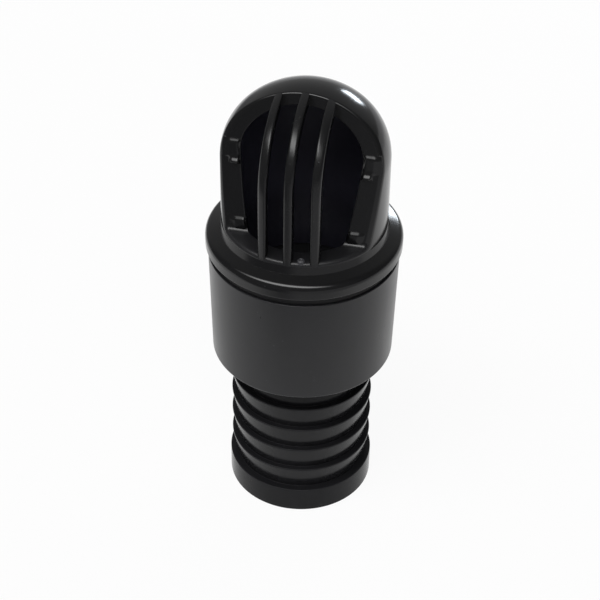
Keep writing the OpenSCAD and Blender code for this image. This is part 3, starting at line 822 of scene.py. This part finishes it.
def make_spring():
    """A compression spring with its end turns closed."""
    coil_r = (spring_high.y - spring_low.y - wire_d) / 2
    sizes = {"Coil Radius": coil_r * MM, "Wire": wire_d * MM, "Turns": spring_turns,
             "Low": (spring_low.z + wire_d / 2) * MM, "High": (spring_high.z - wire_d / 2) * MM,
             "Finish": steel}
    w, start = new_rule("closed_spring", sizes)
    wire, turns_in, low = start.other("Wire"), start.other("Turns"), start.other("Low")
    coil_in = start.other("Coil Radius")
    helix = w.node("GeometryNodeCurveSpiral", (),
                   {"Resolution": 40, "Rotations": turns_in, "Height": 0.0, "Start Radius": coil_in,
                    "End Radius": coil_in})
    turn = w.node("GeometryNodeSplineParameter", out="Factor") * turns_in
    rise = (start.other("High") - low - wire * 2.0) / (turns_in - 2.0)
    closed = w.maths("MINIMUM", turn, 1.0) + w.maths("MAXIMUM", turn - (turns_in - 1.0), 0.0)
    opened = w.maths("MINIMUM", w.maths("MAXIMUM", turn - 1.0, 0.0), turns_in - 2.0)
    place = w.node("ShaderNodeSeparateXYZ", (), {"Vector": w.node("GeometryNodeInputPosition")})
    wound = w.node("GeometryNodeSetPosition", (), {
        "Geometry": helix,
        "Position": w.vector(place.other("X"), place.other("Y"), low + wire * closed + rise * opened)})
    section = w.node("GeometryNodeCurvePrimitiveCircle", {"mode": "RADIUS"},
                     {"Resolution": 14, "Radius": wire / 2.0})
    swept = w.node("GeometryNodeCurveToMesh", (),
                   {"Curve": wound, "Profile Curve": section, "Fill Caps": True})
    end_rule(w, swept, start.other("Finish"))
    return grown("closing_spring", bpy.data.meshes.new("spring_start"), w, sizes)


# Bodies and material slots

for head_piece in (make_base(), make_shell(), make_ribs(), make_lugs(), make_gate(),
                   make_thread("skirt_thread", radius=skirt_r - thread_sink, turns=2.0,
                               low_z=flange_z - 3 * thread_pitch, root_w=thread_crest + 2 * thread_flank,
                               crest_w=thread_crest, depth=thread_depth + thread_sink,
                               finish=head_plastic)):
    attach(head_piece, "strainer")
    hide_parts("strainer_head")
for collar_piece in (make_collar(),
                     make_thread("collar_thread", radius=nut_root_r + thread_sink, turns=2.6,
                                 low_z=flange_z - 3.5 * thread_pitch, root_w=nut_ridge_w,
                                 crest_w=nut_ridge_w - 2 * thread_flank,
                                 depth=-thread_depth - thread_sink, finish=collar_plastic)):
    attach(collar_piece, "housing")
    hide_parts("collar")
tail = make_tail()
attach(tail, "housing")
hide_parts("hose_tail")
spring = make_spring()
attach(spring, "housing")
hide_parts("valve_spring")
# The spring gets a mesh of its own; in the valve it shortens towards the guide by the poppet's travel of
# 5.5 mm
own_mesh(spring)

finishes = {"head_gasket": seal_rubber, "seat_gasket": seal_rubber, "poppet_seal": seal_rubber,
            "seat_ring": valve_plastic, "poppet": valve_plastic, "guide_spider": valve_plastic,
            "seal_washer": steel, "seal_screw": steel, "stem_clip": steel}
for node_name, finish in finishes.items():
    node_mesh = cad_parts[node_name].data
    node_mesh.materials.clear()
    node_mesh.materials.append(finish)


# Camera


def facing(azimuth, elevation):
    """Direction from the valve, with azimuth 0 towards the camera and 90 to its right."""
    turn, rise = math.radians(azimuth + camera_azimuth), math.radians(elevation)
    return Vector((math.sin(turn) * math.cos(rise), -math.cos(turn) * math.cos(rise), math.sin(rise)))


# The photograph's width and the camera's focal length in its pixels
photo_w = 600.0
focal_length = 1836.623
sensor_w = 36.0

camera_azimuth = 11.5
camera_elevation = 38.68
camera_distance = 420.377 * MM
camera_roll = math.radians(0.924)
camera_aside = 0.723 * MM
camera_target_z = 50.623 * MM

camera = bpy.data.objects.new("camera", bpy.data.cameras.new("camera"))
bpy.context.collection.objects.link(camera)
camera.data.sensor_width = sensor_w
camera.data.lens = focal_length * sensor_w / photo_w
camera.data.clip_start = 0.01
right = facing(90, 0)
toward = facing(0, camera_elevation)
up = toward.cross(right)
level_right = right * math.cos(camera_roll) + up * math.sin(camera_roll)
level_up = up * math.cos(camera_roll) - right * math.sin(camera_roll)
camera.matrix_world = Matrix((level_right, level_up, toward)).transposed().to_4x4()
camera.location = toward * camera_distance - right * camera_aside + Vector((0, 0, camera_target_z))
bpy.context.scene.camera = camera


# Floor, surroundings and lamp

floor_reach = 4.0
white = (1.0, 1.0, 1.0, 1.0)
pale = (0.92, 0.92, 0.92, 1.0)
# Painted shade: the greys that the floor takes on away from the valve, darker on the left than on the
# right
left_painted_shade = (0.24, 0.24, 0.25, 1.0)
right_painted_shade = (0.60, 0.60, 0.61, 1.0)

# Distances in metres over which painted shade turns the floor grey, in front of the valve and all around
# it
painted_shade_ahead = (0.055, 0.12)
painted_shade_around = (0.3, 0.5)

# Shares of the distance that lie to the right, between which the darker painted shade on the left turns
# into the paler one on the right
painted_shade_aside = (-0.42, -0.05)

# How far the floor shows its plain colour, and not the light and shadow on it
plain_share = 0.92

# Strengths of the room's light all around, in front, behind and in a bright panel overhead
room_level = 0.14
front_level = 0.11
back_level = 0.2
panel_level = 7.0

# Where the panel's middle is, and the squares of its half width and half height
panel_azimuth = -28
panel_elevation = 62
panel_w2 = 0.56
panel_h2 = 0.07

lamp_target_z = 0.08


def make_floor():
    """A plain pale floor, white as far as the camera sees it, with painted shade that greys it in front
    of that and all around, darker on the left.
    """
    mesh = bpy.data.meshes.new("floor")
    corners = ((-1, -1), (1, -1), (1, 1), (-1, 1))
    mesh.from_pydata([(x * floor_reach, y * floor_reach, 0) for x, y in corners], [], [(0, 1, 2, 3)])
    material, w = new_wiring("floor")
    place = w.node("ShaderNodeTexCoord", out="Object")
    ahead = w.along(place, facing(0, 0))
    away = w.node("ShaderNodeVectorMath", {"operation": "LENGTH"}, {0: place}, out="Value")
    # Painted shade: how far the floor has greyed, in front of the valve and all around it
    far = w.maths("MAXIMUM", w.ramp(ahead, *painted_shade_ahead), w.ramp(away, *painted_shade_around))
    aside = w.along(place, facing(90, 0))
    distant = w.blend(w.ramp(aside / away, *painted_shade_aside), left_painted_shade, right_painted_shade)
    colour = w.blend(far, pale, distant)
    glow = w.blend(far, white, distant)
    ray = w.node("ShaderNodeLightPath")
    seen = w.maths("MAXIMUM", ray.other("Is Camera Ray"),
                   w.maths("MAXIMUM", ray.other("Is Glossy Ray"), ray.other("Is Transmission Ray")))
    lit = w.node("ShaderNodeBsdfDiffuse", (), {"Color": colour})
    plain = w.node("ShaderNodeEmission", (), {"Color": glow, "Strength": 1.0})
    both = w.node("ShaderNodeMixShader", (), {0: seen * plain_share, 1: lit, 2: plain})
    w.node("ShaderNodeOutputMaterial", (), {"Surface": both})
    mesh.materials.append(material)
    floor = bpy.data.objects.new("floor", mesh)
    bpy.context.collection.objects.link(floor)


def make_surroundings():
    """A plain dim room, a little brighter in front and behind, with a bright panel overhead."""
    world = bpy.data.worlds.new("room")
    bpy.context.scene.world = world
    world.use_nodes = True
    world.node_tree.nodes.clear()
    w = Wiring(world.node_tree)
    way = w.node("ShaderNodeTexCoord", out="Generated")
    front = w.along(way, facing(-20, 10))
    across = w.along(way, facing(panel_azimuth + 90, 0))
    middle = w.along(way, facing(panel_azimuth, panel_elevation))
    tilt = w.along(way, facing(panel_azimuth, panel_elevation - 90))
    away = w.root(across * across / panel_w2 + tilt * tilt / panel_h2)
    panel = (1.0 - w.ramp(away, 0.35, 1.0)) * w.ramp(middle, 0.0, 0.2)
    back = w.along(way, facing(180, 30))
    level = (room_level + w.ramp(front, -0.1, 0.8) * front_level + w.ramp(back, 0.35, 0.85) * back_level
             + panel * panel_level)
    light = w.node("ShaderNodeBackground", (), {"Color": white, "Strength": level})
    w.node("ShaderNodeOutputWorld", (), {"Surface": light})


def soft_lamp(name, azimuth, elevation, distance, width, height, power, colour):
    """A soft rectangular lamp that faces the valve's head."""
    lamp = bpy.data.objects.new(name, bpy.data.lights.new(name, "AREA"))
    bpy.context.collection.objects.link(lamp)
    lamp.data.shape = "RECTANGLE"
    lamp.data.size = width
    lamp.data.size_y = height
    lamp.data.energy = power
    lamp.data.color = colour
    way = facing(azimuth, elevation)
    lamp.location = way * distance + Vector((0, 0, lamp_target_z))
    lamp.rotation_euler = way.to_track_quat("Z", "Y").to_euler()


make_floor()
make_surroundings()
soft_lamp("window", azimuth=156, elevation=9, distance=0.80, width=0.16, height=0.11, power=0.9,
          colour=(0.86, 0.93, 1.0))

bpy.context.scene.view_settings.view_transform = "Standard"
